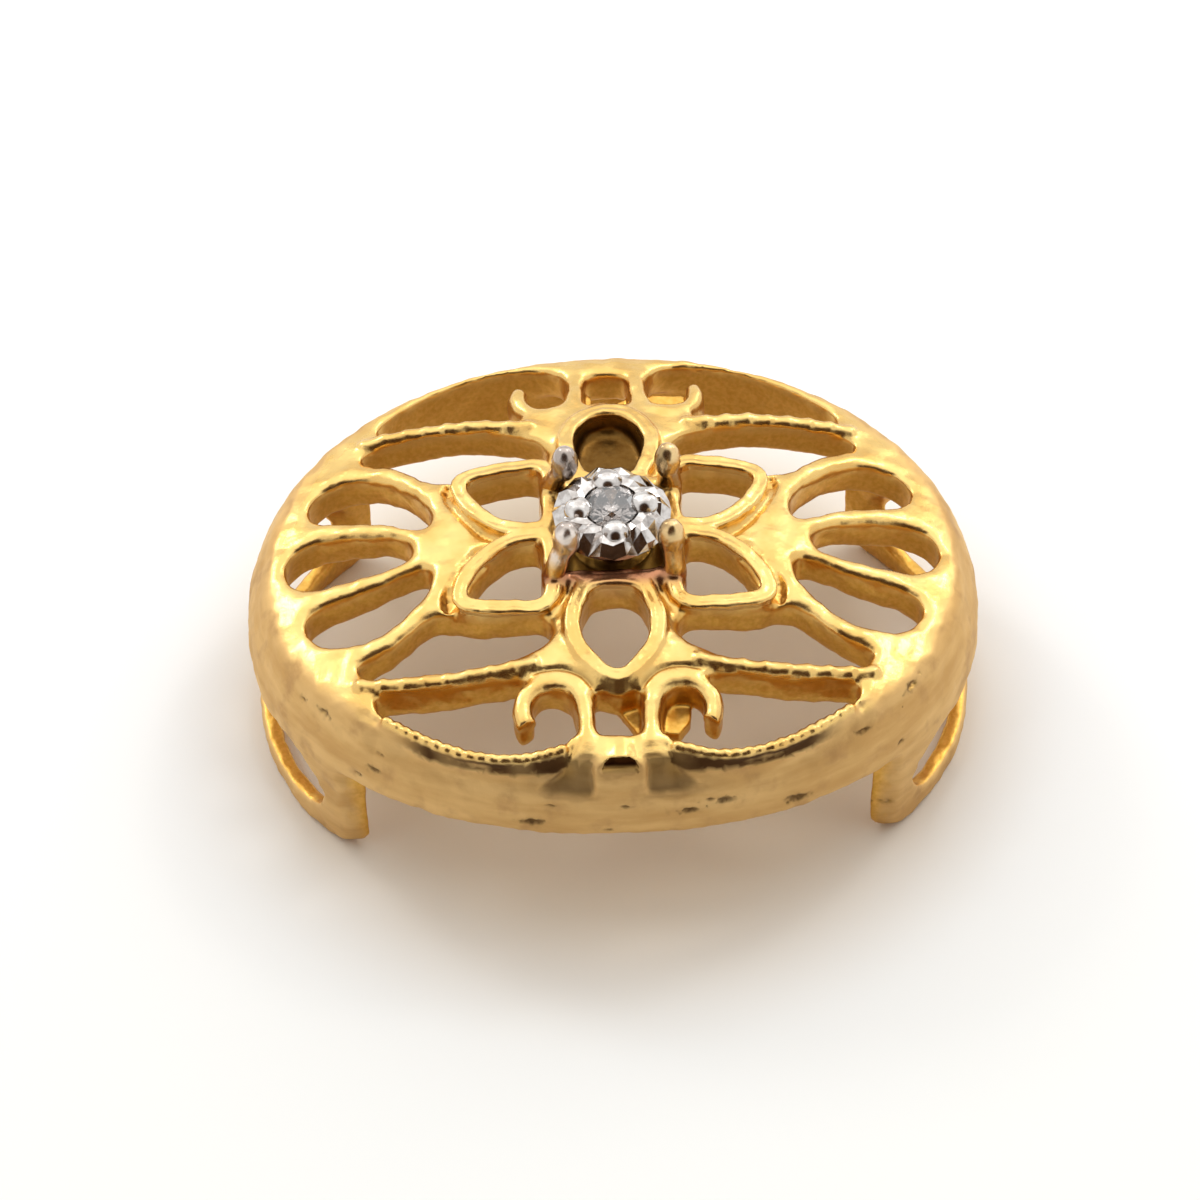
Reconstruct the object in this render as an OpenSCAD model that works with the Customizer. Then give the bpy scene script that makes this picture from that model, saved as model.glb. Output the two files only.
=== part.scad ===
// Oval openwork slide pendant: a cast gold frame with a loop under each end and
// four claws in the middle, a fluted plate between the claws, and a small cut stone.
// X runs along the oval, Y across it, Z up. It stands on its two end loops, and the
// origin is under its middle, on the surface that it stands on.

/* [Frame] */
// Length of the oval, from end to end
frame_len = 18; // [17:0.1:22]
// Width of the oval
frame_wid = 14.4; // [13.6:0.1:16]
// Height of the dome's middle above the rim's lower edge
dome_top = 2.9; // [2.8:0.05:3]
// Radius of the dome
dome_r = 29; // [27:0.5:32]
// Depth of the openwork, from its top face to its underside
plate_t = 0.95; // [0.7:0.05:1.1]
// Thickness of the rim's wall at its lower edge
wall_t = 0.55; // [0.45:0.05:0.7]

/* [Ornament] */
// Width of the band that makes a scroll
scroll_band = 0.47; // [0.35:0.01:0.5]
// Radius of a scroll, to the middle of its band
scroll_r = 0.74; // [0.7:0.01:0.78]
// How far the petals' edges stand above the dome
petal_rise = 0.17; // [0.08:0.01:0.24]
// Width of a petal's raised edge
petal_edge = 0.42; // [0.3:0.01:0.45]
// Diameter of a bead on the beaded bars
bead_d = 0.5; // [0.4:0.01:0.52]
// Number of beads on each beaded bar
bead_count = 9; // [6:1:9]

/* [End loops] */
// How far a loop hangs below the rim
loop_drop = 2.95; // [2.5:0.05:3.5]
// Width of a loop, across the oval
loop_wid = 9.8; // [9:0.1:10.6]
// Height of the slot that a chain or ribbon runs through
slot_h = 2; // [1:0.05:2.1]
// Thickness of the band around the slot
loop_band = 0.6; // [0.4:0.01:0.7]
// How far a loop leans in at its foot
loop_lean = 0.15; // [0:0.05:0.5]

/* [Head] */
// Distance between two neighbouring claws, at their tips
claw_span = 2.5; // [2.4:0.05:2.8]
// Diameter of a claw's round tip
claw_tip = 0.71; // [0.6:0.01:0.76]
// Height of the claws' tips above the dome's middle
claw_rise = 1.6; // [1.1:0.02:1.7]
// Outer width of the square collar that the claws stand on
collar_wid = 3.48; // [3.3:0.01:3.6]

/* [Plate and stone] */
// Diameter of the plate that holds the stone
plate_d = 2.8; // [2.5:0.02:2.82]
// Number of flutes around the plate's edge
flute_count = 16; // [8:2:20]
// Diameter of a bead that grips the stone
grip_d = 0.68; // [0.56:0.02:0.7]
// Diameter of the stone
stone_d = 1.3; // [1.2:0.02:1.4]

/* [Hidden] */
$fn = 48;
a = frame_len / 2;
b = frame_wid / 2;
// a cut starts or ends this far out, beyond all metal
far = 4;
// the openwork's outlines are drawn for an 18 by 14.4 oval, and this fits them to it
fit = [frame_len / 18, frame_wid / 14.4];
// how full the oval is: 2 is an ellipse, and more fills out its corners
fullness = 2.15;
// half heights of the egg that the outer wall is part of, at the ends and on the sides
egg_end = 4.6;
egg_side = 6.1;
// the points of a ring round the oval, and the heights of the wall's rings
ring_points = 48;
wall_rings = [2.6, 2.1, 1.4, 0];
// the rim's inner wall draws in by this much towards its top
wall_draw = 0.3;
// height of the rim's lower edge over the origin
rim_z = loop_drop;
// a loop's root stands this high inside the wall, and this far in from its faces
root_h = 0.3;
root_in = 0.12;
// radius of the corners of a loop's foot, and how thick the band is at a slot's ends
loop_round = 0.42;
slot_side = 0.45;
// how much thinner a loop is at its foot than at its root
loop_taper = 0.15;
// a loop is drawn longer by this factor, and its foot is cut flat
past = 1.2;
// how round a slot's ends are: 1 makes half circles of them
slot_round = 0.94;
// an outline runs clockwise round its opening, with a row for each turn of it
X = 0;
Y = 1;
fan_side = [
    [4.38, 0.72], [4.46, 1.36], [5.05, 2.08], [5.62, 2.50], [6.30, 2.70], [6.92, 2.60],
    [7.34, 2.20], [7.42, 1.72], [7.00, 1.38], [6.30, 1.22], [5.50, 1.02], [4.85, 0.70]];
fan_middle = [
    [4.85, 0], [5.10, 0.40], [5.90, 0.60], [6.70, 0.74], [7.35, 0.74], [7.82, 0.45],
    [7.97, 0], [7.82, -0.45], [7.35, -0.74], [6.70, -0.74], [5.90, -0.60], [5.10, -0.40]];
side_petal = [
    [1.70, 2.00], [2.40, 2.10], [3.05, 2.02], [3.50, 1.84], [3.32, 1.28], [2.92, 0.76],
    [2.45, 0.42], [1.98, 0.33], [1.70, 0.50]];
long_opening = [
    [1.50, 2.90], [1.60, 3.25], [1.95, 3.50], [2.60, 3.74], [3.40, 3.88], [4.30, 3.94],
    [5.20, 3.90], [5.85, 3.76], [6.18, 3.46], [5.90, 3.22], [5.35, 3.00], [4.85, 2.62],
    [4.22, 2.16], [3.40, 2.38], [2.60, 2.46], [1.74, 2.46]];
crescent = [
    [1.03, 5.20], [1.02, 5.85], [1.50, 6.26], [2.30, 6.38], [3.20, 6.24], [4.00, 5.94],
    [4.75, 5.50], [5.35, 5.02], [5.72, 4.60], [5.74, 4.32], [5.40, 4.27], [4.80, 4.34],
    [4.20, 4.40], [3.60, 4.37], [2.95, 4.31], [2.30, 4.27], [1.60, 4.40], [1.16, 4.75]];
end_petal = [
    [0, 4.22], [0.42, 3.90], [0.74, 3.40], [0.82, 2.85], [0.70, 2.30], [0.42, 1.88],
    [-0.42, 1.88], [-0.70, 2.30], [-0.82, 2.85], [-0.74, 3.40], [-0.42, 3.90]];
back_petal = [
    [0, 4.14], [0.50, 3.92], [0.80, 3.42], [0.84, 2.85], [0.70, 2.30], [0.42, 1.88],
    [-0.42, 1.88], [-0.70, 2.30], [-0.84, 2.85], [-0.80, 3.42], [-0.50, 3.92]];
middle_opening = [
    [0, 4.90], [-0.42, 4.72], [-0.60, 4.80], [-0.62, 5.30], [-0.52, 5.84], [0, 5.98],
    [0.52, 5.84], [0.62, 5.30], [0.60, 4.80], [0.42, 4.72]];
// a scroll starts as a short bar down from the rim, then curls round its centre
scroll_at = [1.52, 5.15];
scroll_start = [0.74, 6.20];
scroll_turn = [180, 395];
scroll_steps = 11;
// its underside over the openwork's, and its sides' and its top's height over the dome
scroll_low = 0.06;
scroll_side = -0.08;
scroll_top = 0.07;
// where a beaded bar's first and last beads are, and how far its middle bows out
bead_from = [1.95, 3.90];
bead_to = [6.05, 3.98];
bead_bow = 0.2;
// how deep a bead's middle is sunk, as a share of its diameter
bead_sunk = 0.28;
// the ridges round a petal: across them, and up, as shares of their width and height
petal_ridges = [[0.12, 1], [0.5, 0.3], [0.85, 1]];
lap = 0.01;
// the petal at the back isn't pierced: its floor lies this high over the openwork's underside
back_floor = 0.13;
// the groove between a side petal and the fan: its two ends, width and depth
groove_ends = [[3.05, 0.64], [3.92, 1.95]];
groove_wid = 0.26;
groove_deep = 0.32;
// the collar's bars, and how far it stands above the dome's middle
collar_bar = 0.5;
collar_rise = 0.06;
// the round rails on the collar's bars, and how deep their middles lie in it
rail_d = 0.41;
rail_sunk = 0.17;
// the collar's seat, sunk below the dome's middle, with a round hole under the stone
seat_deep = 0.5;
seat_t = 0.28;
seat_hole = 1;
seat_lap = 0.1;
// the round-topped bar in front, from and to, and the notch that it ends in
cap_wid = 1;
cap_from = 6.05;
cap_to = 6.75;
cap_rise = 0.08;
notch_deep = 0.15;
// the flat cuts beside it, outside on the wall: their outline from the lower inner corner,
// the height of the lower edge, how far out that edge is, and how the cut leans
cut_outline = [[0.6, 0], [0.6, 1.3], [1, 1.15], [2.3, 0]];
cut_z = 1.2;
cut_back = 6.9;
cut_lean = 24;
// the claws lean in from the collar's corners to their round tips
claw_foot = 0.5;
claw_top = 0.48;
claw_sunk = 0.1;
neck_z = 0.16;
claw_z = dome_top + claw_rise - claw_tip / 2;
// the plate sits between the claws, clear of the collar, over a cup that narrows down
plate_z = dome_top + 0.42;
plate_edge = 0.2;
plate_h = 0.46;
plate_bevel = 0.28;
plate_top = plate_z + plate_h;
cup_h = 0.86;
cup_d = [2, 2.3];
cup_hole = 0.75;
flute_d = 0.3;
flute_len = 2;
flute_lean = 125;
// the stone lies on its girdle in the plate, with this much room round it
gap = 0.03;
girdle_t = 0.05;
girdle_z = plate_top - girdle_t;
crown_h = 0.2;
pavilion_h = 0.52;
table_d = 0.56 * stone_d;
culet_d = 0.04;
// where the gripping beads stand, from the stone's middle, and how deep they are sunk
grip_at = 0.8;
grip_sunk = 0.1;

function on_dome(p) =
    dome_top - dome_r + sqrt(dome_r * dome_r - p[X] * p[X] - p[Y] * p[Y]);

// a point of an oval with the half lengths p and q
function oval_at(p, q, angle) =
    let (c = cos(angle), s = sin(angle))
    [p * sign(c) * pow(abs(c), 2 / fullness), q * sign(s) * pow(abs(s), 2 / fullness)];

function oval_ring(p, q, z) =
    [for (i = [0:ring_points - 1])
        let (flat = oval_at(p, q, 360 * i / ring_points))
        [flat[X], flat[Y], z]];

function curve(p, q, r, s, t) =
    0.5 * (2 * q + (r - p) * t + (2 * p - 5 * q + 4 * r - s) * t * t
        + (3 * q - p - 3 * r + s) * t * t * t);

function fitted(p) = [p[X] * fit[X], p[Y] * fit[Y]];

// a smooth closed outline through the given turns
function smooth(turns, steps = 2) =
    let (n = len(turns))
    [for (i = [0:n - 1], k = [0:steps - 1])
        fitted(curve(turns[(i + n - 1) % n], turns[i], turns[(i + 1) % n],
            turns[(i + 2) % n], k / steps))];

// the unit normal on the left of a path at its point i
function left_of(path, i, closed) =
    let (n = len(path))
    let (before = closed ? path[(i + n - 1) % n] : path[max(i - 1, 0)])
    let (after = closed ? path[(i + 1) % n] : path[min(i + 1, n - 1)])
    [before[Y] - after[Y], after[X] - before[X]] / norm(after - before);

// rings of points joined into one closed skin, as a loop or with flat ends
module skin(rings, closed = false) {
    n = len(rings);
    m = len(rings[0]);
    bands = closed ? n : n - 1;
    points = [for (ring = rings) for (p = ring) p];
    sides = [for (k = [0:bands - 1], i = [0:m - 1])
        let (k2 = (k + 1) % n, i2 = (i + 1) % m)
        for (face = [[k * m + i, k * m + i2, k2 * m + i2],
                [k * m + i, k2 * m + i2, k2 * m + i]]) face];
    ends = closed ? [] : [[for (i = [m - 1:-1:0]) i], [for (i = [0:m - 1]) (n - 1) * m + i]];
    polyhedron(points, concat(sides, ends));
}

// a bar along a path, with a section of [side, height] points that rides on the dome
module sweep(path, section, closed) {
    skin([for (i = [0:len(path) - 1])
        let (left = left_of(path, i, closed))
        [for (s = section)
            let (p = path[i] + s[X] * left)
            [p[X], p[Y], on_dome(p) + s[Y]]]], closed);
}

// an opening goes right through, or down to a floor at the height low
module opening(turns, low = -far) {
    translate([0, 0, low]) linear_extrude(far - low) polygon(smooth(turns));
}

module in_front() {
    mirror([0, 1, 0]) children();
}

module quadrants() {
    for (mx = [0, 1], my = [0, 1])
        mirror([mx, 0, 0]) mirror([0, my, 0]) children();
}

module two_ends() {
    for (mx = [0, 1]) mirror([mx, 0, 0]) children();
}

module two_sides() {
    for (my = [0, 1]) mirror([0, my, 0]) children();
}

// an oval block through rings from its top down, each a [distance in from the oval, z]
module oval_block(rings) {
    skin([for (ring = rings) oval_ring(a - ring[0], b - ring[0], ring[1])]);
}

// everything below a dome that is raised over the frame's own one by up
module under_dome(up) {
    translate([0, 0, dome_top - dome_r]) sphere(r = dome_r + up, $fn = 48);
}

module rounded_window(w, h, r) {
    square([w - 2 * r, h], center = true);
    square([w, h - 2 * r], center = true);
    for (sx = [-1, 1], sy = [-1, 1])
        translate([sx * (w / 2 - r), sy * (h / 2 - r)]) circle(r, $fn = 12);
}

// a window in the plane across the oval, cut along the oval's length
module window_along_x(w, low, high, r) {
    translate([0, 0, (low + high) / 2]) rotate([90, 0, 90])
        linear_extrude(2 * a + far, center = true) rounded_window(w, high - low, r);
}

// the rim's wall and the dome over it, hollow below
module shell() {
    wall = [for (z = wall_rings)
        oval_ring(a * sqrt(1 - pow(z / egg_end, 2)), b * sqrt(1 - pow(z / egg_side, 2)), z)];
    difference() {
        intersection() {
            skin(wall);
            under_dome(0);
        }
        intersection() {
            oval_block([[wall_t + wall_draw, dome_top], [wall_t, 0], [wall_t, -1]]);
            under_dome(-plate_t);
        }
    }
}

// the wall goes on below the rim at each end, as a loop
module end_loops() {
    foot_in = loop_lean - loop_taper;
    intersection() {
        difference() {
            oval_block([[root_in, root_h], [0, 0], [past * loop_lean, -past * loop_drop]]);
            oval_block([[wall_t - 2 * root_in, 2 * root_h], [wall_t, 0],
                [wall_t + past * foot_in, -past * loop_drop]]);
        }
        window_along_x(loop_wid, -loop_drop, loop_drop, loop_round);
        two_ends() translate([a / 3, -b, -loop_drop - 1]) cube([a, 2 * b, loop_drop + 2]);
    }
}

module slots() {
    low = loop_band - loop_drop;
    window_along_x(loop_wid - 2 * slot_side, low, low + slot_h, slot_h / 2 * slot_round);
}

module openings() {
    quadrants() {
        opening(fan_side);
        opening(side_petal);
        opening(long_opening);
        opening(crescent);
    }
    two_ends() opening(fan_middle);
    two_sides() opening(middle_opening);
    in_front() opening(end_petal);
    opening(back_petal, dome_top - plate_t + back_floor);
}

// two fine ridges side by side round a petal's opening
module petal_edge_of(turns) {
    low = -plate_t / 2;
    ridges = [for (turn = petal_ridges) [turn[X] * petal_edge, turn[Y] * petal_rise]];
    sweep(smooth(turns), concat([[-lap, low]], ridges, [[petal_edge, low]]), true);
}

module scroll() {
    w = scroll_band / 2;
    low = scroll_low - plate_t;
    section = [[-w, low], [-w, scroll_side], [-0.5 * w, scroll_top], [0.5 * w, scroll_top],
        [w, scroll_side], [w, low]];
    turn = scroll_turn[1] - scroll_turn[0];
    curl = [for (i = [0:scroll_steps])
        let (angle = scroll_turn[0] + turn * i / scroll_steps)
        fitted(scroll_at + scroll_r * [cos(angle), sin(angle)])];
    sweep(concat([fitted(scroll_start)], curl), section, false);
}

module beaded_bar() {
    for (i = [0:bead_count - 1]) {
        t = i / (bead_count - 1);
        p = fitted(bead_from + (bead_to - bead_from) * t + [0, bead_bow * sin(180 * t)]);
        translate([p[X], p[Y], on_dome(p) - bead_sunk * bead_d]) sphere(d = bead_d, $fn = 6);
    }
}

// a bar with round ends from p to q
module rod(p, q, d1, d2) {
    hull() {
        translate(p) sphere(d = d1, $fn = 8);
        translate(q) sphere(d = d2, $fn = 8);
    }
}

module groove() {
    p = fitted(groove_ends[0]);
    q = fitted(groove_ends[1]);
    up = groove_wid;
    rod([p[X], p[Y], on_dome(p) + up - groove_deep], [q[X], q[Y], on_dome(q) + up - groove_deep],
        groove_wid, 2 * groove_wid);
}

// the bar with a round top in front
module cap() {
    y1 = cap_from * fit[Y];
    y2 = cap_to * fit[Y];
    top = on_dome([0, y1]) + cap_rise;
    translate([0, y2, top - cap_wid / 2]) rotate([90, 0, 0])
        cylinder(d = cap_wid, h = y2 - y1, $fn = 20);
}

module notch() {
    y2 = cap_to * fit[Y];
    translate([-cap_wid / 2, y2, on_dome([0, y2]) - notch_deep]) cube([cap_wid, far, far]);
}

module wall_cut() {
    translate([0, cut_back * fit[Y], cut_z]) rotate([cut_lean, 0, 0]) translate([0, far, 0])
        rotate([90, 0, 0]) linear_extrude(far) polygon(cut_outline);
}

module collar() {
    inner = collar_wid / 2 - collar_bar;
    half = collar_wid / 2;
    low = dome_top - plate_t;
    difference() {
        translate([-half, -half, low]) cube([2 * half, 2 * half, plate_t + collar_rise]);
        translate([-inner, -inner, low - far]) cube([2 * inner, 2 * inner, 2 * far]);
    }
}

module seat() {
    half = collar_wid / 2 - collar_bar + seat_lap;
    difference() {
        translate([-half, -half, dome_top - seat_deep - seat_t]) cube([2 * half, 2 * half, seat_t]);
        translate([0, 0, dome_top - far]) cylinder(d = seat_hole, h = far);
    }
}

module claw() {
    foot = collar_wid / 2 - collar_bar / 2;
    tip = claw_span / 2;
    rod([foot, foot, dome_top - claw_sunk], [tip, tip, claw_z - neck_z], claw_foot, claw_top);
    translate([tip, tip, claw_z]) sphere(d = claw_tip, $fn = 12);
}

module head_rail() {
    foot = collar_wid / 2 - collar_bar / 2;
    z = dome_top + collar_rise - rail_sunk;
    rod([-foot, foot, z], [foot, foot, z], rail_d, rail_d);
}

module openwork() {
    difference() {
        union() {
            shell();
            quadrants() petal_edge_of(side_petal);
            petal_edge_of(back_petal);
            in_front() petal_edge_of(end_petal);
            in_front() cap();
        }
        openings();
        quadrants() groove();
        two_ends() in_front() wall_cut();
        in_front() notch();
        cube([collar_wid - 2 * collar_bar, collar_wid - 2 * collar_bar, 2 * far], center = true);
    }
}

module openwork_frame() {
    color("goldenrod") translate([0, 0, rim_z]) {
        openwork();
        difference() {
            end_loops();
            slots();
        }
        quadrants() scroll();
        quadrants() beaded_bar();
        collar();
        seat();
        quadrants() claw();
        for (turn = [0:90:270]) rotate(turn) head_rail();
    }
}

// the room that the stone takes up, as cones round its facets
module stone_room() {
    d = stone_d + 2 * gap;
    translate([0, 0, girdle_z - gap]) cylinder(d = d, h = girdle_t + 2 * gap);
    translate([0, 0, girdle_z + girdle_t + gap])
        cylinder(d1 = d, d2 = table_d + 4 * gap, h = crown_h + gap);
    translate([0, 0, girdle_z - pavilion_h - gap]) cylinder(d1 = 0.1, d2 = d, h = pavilion_h);
    translate([0, 0, plate_z - cup_h - far]) cylinder(d = cup_hole, h = plate_h + far);
}

module illusion_plate() {
    color("gainsboro") translate([0, 0, rim_z]) difference() {
        union() {
            translate([0, 0, plate_z]) cylinder(d = plate_d, h = plate_edge);
            translate([0, 0, plate_z + plate_edge])
                cylinder(d1 = plate_d, d2 = plate_d - 2 * plate_bevel, h = plate_h - plate_edge);
            translate([0, 0, plate_z - cup_h]) cylinder(d1 = cup_d[0], d2 = cup_d[1], h = cup_h);
            for (turn = [0:90:270])
                rotate(turn) translate([grip_at, 0, plate_top - grip_sunk]) sphere(d = grip_d);
        }
        stone_room();
        for (i = [0:flute_count - 1])
            rotate((i + 0.5) * 360 / flute_count)
                translate([plate_d / 2 - plate_bevel / 2, 0, plate_top + flute_d / 4])
                rotate([0, flute_lean, 0]) cylinder(d = flute_d, h = flute_len, center = true);
    }
}

module diamond() {
    color("lightcyan") translate([0, 0, rim_z + girdle_z]) hull() {
        cylinder(d = stone_d, h = girdle_t, $fn = 16);
        rotate(22.5) cylinder(d = table_d, h = girdle_t + crown_h, $fn = 8);
        translate([0, 0, -pavilion_h]) cylinder(d = culet_d, h = pavilion_h, $fn = 8);
    }
}

openwork_frame();
illusion_plate();
diamond();
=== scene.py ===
import math

import bmesh
import bpy
import numpy as np
from mathutils import Matrix, Vector


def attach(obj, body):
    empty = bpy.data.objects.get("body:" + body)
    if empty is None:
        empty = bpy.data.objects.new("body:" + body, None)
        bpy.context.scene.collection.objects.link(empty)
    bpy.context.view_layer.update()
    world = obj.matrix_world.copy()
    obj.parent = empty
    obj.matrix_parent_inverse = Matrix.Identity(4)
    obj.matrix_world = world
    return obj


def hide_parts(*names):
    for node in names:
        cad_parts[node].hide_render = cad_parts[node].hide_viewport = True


# An oval openwork slide pendant of cast yellow gold, with a small diamond in a white gold
# plate. Meshes are worked on in millimetres and put into metres at the end.
MM = 0.001
RIM_Z = 2.95  # height of the rim's lower edge over the floor
OVAL = (9.0, 7.2)  # half lengths of the oval
FULLNESS = 2.15  # 2 would be an ellipse
EGG = (4.6, 6.1)  # half heights of the egg that the wall follows, at the ends and sides
DOME_TOP = 2.9  # over the rim's lower edge
DOME_R = 29.0
# the end loops: how far they reach below the rim, and how far they lean in
LOOP_DROP = 2.95
LOOP_LEAN = 0.15
# the half-round cap in front: where it ends, its top over the rim's edge, its radius and
# how deep its end is hollow
CAP_TO = 6.75
CAP_TOP = 2.35
CAP_R = 0.5
CAP_HOLLOW = 0.22
# the grids that the metal is remeshed on, before and after the fine relief goes on
SOFT_VOXEL = 0.075
VOXEL = 0.047
# rounds of smoothing that wear the casting's edges round: all over, and on the openwork too
SOFTENING = 6
TOP_SOFTENING = 16
LAST_SOFTENING = 3
# the cap and the cuts in front stay crisp: within this x, beyond this y and above this z
CRISP = (2.8, 5.95, 0.9)
OPENWORK_LOW = 1  # the openwork is all above this height
TRIANGLES = 190000

# outlines of the side, front and back petals, clockwise, and the crest of the crescents
SIDE_PETAL = [
    (1.70, 2.00), (2.40, 2.10), (3.05, 2.02), (3.50, 1.84), (3.32, 1.28), (2.92, 0.76),
    (2.45, 0.42), (1.98, 0.33), (1.70, 0.50)]
END_PETAL = [
    (0, 4.22), (0.42, 3.90), (0.74, 3.40), (0.82, 2.85), (0.70, 2.30), (0.42, 1.88),
    (-0.42, 1.88), (-0.70, 2.30), (-0.82, 2.85), (-0.74, 3.40), (-0.42, 3.90)]
BACK_PETAL = [
    (0, 4.14), (0.50, 3.92), (0.80, 3.42), (0.84, 2.85), (0.70, 2.30), (0.42, 1.88),
    (-0.42, 1.88), (-0.70, 2.30), (-0.84, 2.85), (-0.80, 3.42), (-0.50, 3.92)]
CREST_LINE = [(1.35, 6.30), (2.3, 6.47), (3.2, 6.33), (4.0, 6.03), (4.75, 5.59), (5.45, 5.08)]
# the beaded bars: where the first and last beads are, and the bow between them
BEADS = 9
BEAD_FROM = (1.95, 3.90)
BEAD_TO = (6.05, 3.98)
BEAD_BOW = 0.2
CREST_PITCH = 0.28
CREST_STEP = 0.2  # the rim drops this much just outside the front crescents' crest
# the wires and beads of the fine relief: their radius, and their height over the dome
BAR_WIRE = (0.2, 0.1)
BAR_BEAD = (0.22, 0.135)
CREST_WIRE = (0.15, 0.07)
CREST_BEAD = (0.16, 0.12)
SCROLL_WIRE = (0.25, 0.06)
# two ridges round each petal: how far out from its outline, and their height over the dome
RIDGES = ((0.1, 0.15), (0.31, 0.14))
RIDGE_R = 0.11
# the groove round a side petal: how far out, how deep and how wide
PETAL_GROOVE = (0.52, 0.16, 0.1)
# the middle, the radius and the turn in degrees of a scroll
SCROLL_AT = (1.52, 5.15)
SCROLL_R = 0.74
SCROLL_TURN = (180, 392)
# the crevice round the outside of a front scroll: its radius, width, depth, and the turn in
# degrees over which it starts and ends
CREVICE_R = 1.05
CREVICE_WID = 0.07
CREVICE_DEEP = 0.1
CREVICE_TURN = (195, 215, 285, 305)
# the claws' tips lean over to the right in their casting, and are egg-shaped
CLAW_FOOT = 1.49
CLAW_TIP = 1.25
CLAW_SHIFT = 0.15
CLAW_R = (0.27, 0.25)
CLAW_TOP = 4.48
CLAW_EGG = (0.34, 0.33, 0.54)
# thin webs of metal that the casting left in openings: outline, from and to height
WEBS = [([(-0.1, -4.6), (0.7, -4.6), (0.7, -5.75), (0.5, -5.65)], 1.45, 1.74),
        ([(0.95, -4.6), (1.75, -4.6), (1.7, -5.2), (1.4, -5.6), (0.95, -5.5)], 1.4, 1.76),
        ([(1.1, 4.7), (1.95, 4.7), (1.95, 5.55), (1.1, 5.55)], 1.5, 1.85),
        ([(0.0, 4.6), (0.65, 4.6), (0.65, 5.5), (0.25, 5.3)], 1.5, 1.9),
        ([(-0.65, 4.6), (-0.4, 4.6), (-0.35, 5.5), (-0.65, 5.7)], 1.5, 1.95)]
# casting pits in the outer wall: x, height over the rim's edge, size, all on the near side
PITS = [(-6.98, 1.44, 0.2), (-6.2, 0.44, 0.14), (-5.82, 0.82, 0.18), (-5.66, 1.26, 0.12),
        (7.02, 1.58, 0.24), (6.76, 0.52, 0.14), (6.5, -1.75, 0.26), (2.12, 0.98, 0.12),
        (1.62, 0.74, 0.2), (0.12, 0.96, 0.12), (-1.64, 0.98, 0.12), (-2.08, 0.42, 0.24),
        (-0.32, 0.24, 0.12), (4.18, 0.4, 0.26), (2.42, 0.9, 0.22), (-7.5, 1.3, 0.14),
        (5.78, 1.42, 0.18)]
PIT_SUNK = 0.4
# the uneven skin of the casting: height and length of its waves, and the seed of their noise
SKIN_WAVES = ((0.018, 0.9, 1), (0.012, 0.4, 2))


def colour(code):
    """An sRGB hex colour as a linear RGBA value."""
    parts = [int(code[i:i + 2], 16) / 255 for i in (1, 3, 5)]
    return [p / 12.92 if p <= 0.04045 else ((p + 0.055) / 1.055) ** 2.4 for p in parts] + [1]


def per_mm(size):
    """The scale of a texture whose features are that many millimetres across."""
    return 1 / (size * MM)


def add(tree, kind, inputs=None, **settings):
    """A new node with its settings, and a value or a link in each named socket."""
    node = tree.nodes.new("ShaderNode" + kind)
    for name, value in settings.items():
        setattr(node, name, value)
    for key, value in (inputs or {}).items():
        if isinstance(value, bpy.types.NodeSocket):
            tree.links.new(value, node.inputs[key])
        else:
            node.inputs[key].default_value = value
    return node


def new_material(name):
    material = bpy.data.materials.new(name)
    material.use_nodes = True
    material.node_tree.nodes.clear()
    return material, material.node_tree


def finish_material(tree, shader):
    add(tree, "OutputMaterial", {"Surface": shader.outputs[0]})


def mixed(tree, factor, first, second):
    """A colour between two others."""
    node = add(tree, "Mix", {0: factor, 6: first, 7: second}, data_type="RGBA")
    return node.outputs[2]


def ranged(tree, value, low, high, to_low=0.0, to_high=1.0):
    """A value spread smoothly from one range to another."""
    node = add(tree, "MapRange", {0: value, 1: low, 2: high, 3: to_low, 4: to_high},
               interpolation_type="SMOOTHSTEP")
    return node.outputs[0]


def dome_z(x, y):
    return DOME_TOP - DOME_R + np.sqrt(DOME_R ** 2 - x ** 2 - y ** 2)


def over_dome(points):
    """How far each point is above the dome, or below it if less than 0."""
    return points[:, 2] - RIM_Z - dome_z(points[:, 0], points[:, 1])


def wall_reach(z):
    """The outer wall's half lengths along and across, at a height over the rim's edge."""
    lean = LOOP_LEAN * np.clip(-z / LOOP_DROP, 0, 1)
    up = np.clip(z, 0, None)
    return [half * np.sqrt(1 - (up / egg).clip(0, 0.98) ** 2) - lean
            for half, egg in zip(OVAL, EGG)]


def wall_share(points):
    """How far out each point is, where 1 is on the outer wall at its height."""
    end, side = wall_reach(points[:, 2] - RIM_Z)
    along = (abs(points[:, 0]) / end) ** FULLNESS
    across = (abs(points[:, 1]) / side) ** FULLNESS
    return (along + across) ** (1 / FULLNESS)


def points_of(mesh):
    flat = np.empty(len(mesh.vertices) * 3, np.float32)
    mesh.vertices.foreach_get("co", flat)
    return flat.reshape(-1, 3).astype(float)


def normals_of(mesh):
    flat = np.empty(len(mesh.vertices) * 3, np.float32)
    mesh.vertex_normals.foreach_get("vector", flat)
    return flat.reshape(-1, 3).astype(float)


def set_points(mesh, points):
    mesh.vertices.foreach_set("co", points.astype(np.float32).ravel())
    mesh.update()


def new_object(name, data):
    thing = bpy.data.objects.new(name, data)
    bpy.context.scene.collection.objects.link(thing)
    return thing


def new_mesh(name, bm):
    """A mesh made from a bmesh, which is freed."""
    mesh = bpy.data.meshes.new(name)
    bm.to_mesh(mesh)
    bm.free()
    return mesh


def edit(mesh, change):
    """Runs a change on the mesh as a bmesh."""
    bm = bmesh.new()
    bm.from_mesh(mesh)
    change(bm)
    bm.to_mesh(mesh)
    bm.free()


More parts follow.
